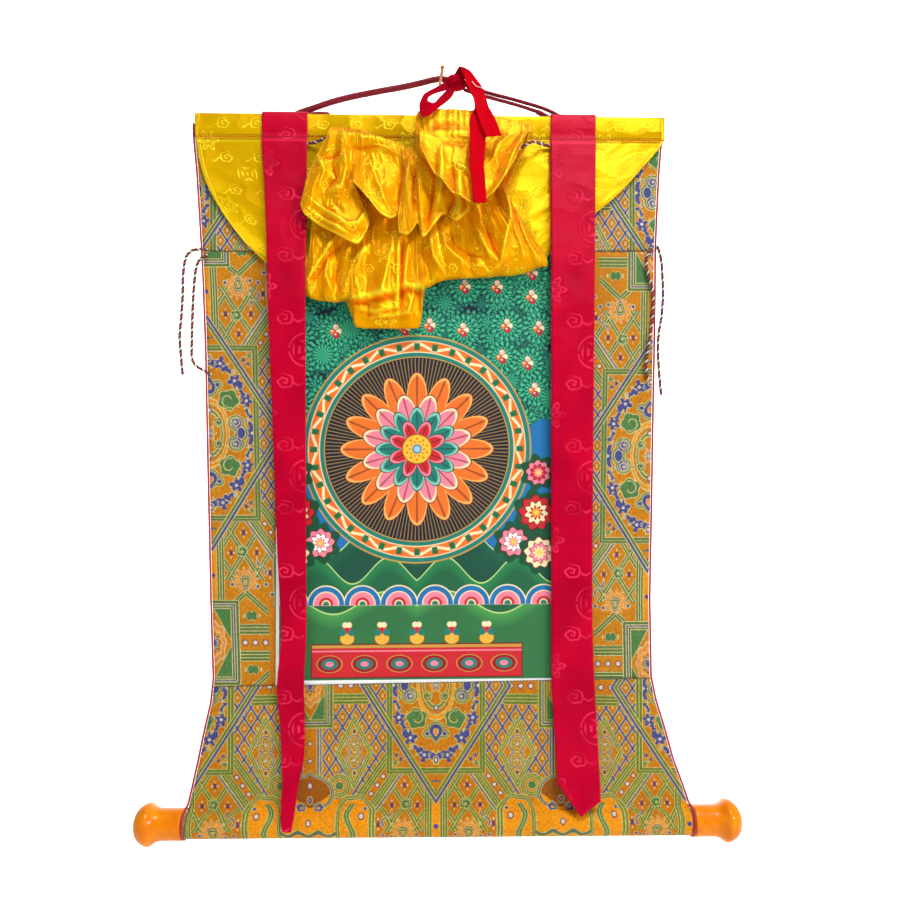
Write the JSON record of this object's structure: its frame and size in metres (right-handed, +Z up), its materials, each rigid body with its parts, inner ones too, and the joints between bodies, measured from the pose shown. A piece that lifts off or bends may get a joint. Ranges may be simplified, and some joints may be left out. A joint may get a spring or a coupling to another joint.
{
  "type": "thangka scroll painting on a wall nail",
  "caption": "Hanging scroll painting in a gold brocade mount, with a gathered yellow silk cover, crimson ribbons, a red cord and a weighted rod with turned knobs, hung on a wall nail.",
  "frame": {"origin": "the point where the nail meets the wall's plane", "axes": "+Z up, -Y out of the wall towards the viewer, +X to the viewer's right; Y = 0 is the wall"},
  "size_m": [0.6, 0.0575, 0.7736],
  "materials": {
    "nail_metal": "dull bronze-brown, worn pale at the tip",
    "red_cord": "soft braided red cord",
    "red_tie": "matt red cotton tape",
    "bare_wood": "plain sanded wood",
    "brocade": "gold-orange brocade with green, blue and cream figures",
    "printed_cloth": "matt printed canvas",
    "piping": "thin red piping",
    "yellow_silk": "glossy yellow satin damask",
    "twisted_cord": "thin cord of dark and pale twisted strands",
    "crimson_damask": "crimson satin damask",
    "orange_lacquer": "glossy amber-orange lacquer on turned wood"
  },
  "bodies": {
    "root": {"nail": "nail_metal", "hanging_cord": "red_cord", "doubled_cord_upper": "red_cord", "doubled_cord_lower": "red_cord", "cord_end_left": "red_cord", "cord_end_right": "red_cord", "tie_bow": "red_tie", "top_batten": "bare_wood", "brocade_top": "brocade", "brocade_left": "brocade", "brocade_right": "brocade", "brocade_bottom": "brocade", "picture_panel": "printed_cloth", "piping_left": "piping", "piping_right": "piping", "silk_cover": "yellow_silk", "gather_string": "twisted_cord", "side_tie_left_a": "twisted_cord", "side_tie_left_b": "twisted_cord", "side_tie_right_a": "twisted_cord", "side_tie_right_b": "twisted_cord", "ribbon_left": "crimson_damask", "ribbon_right": "crimson_damask", "bottom_rod": "bare_wood", "knob_left": "orange_lacquer", "knob_right": "orange_lacquer"}
  },
  "joints": []
}
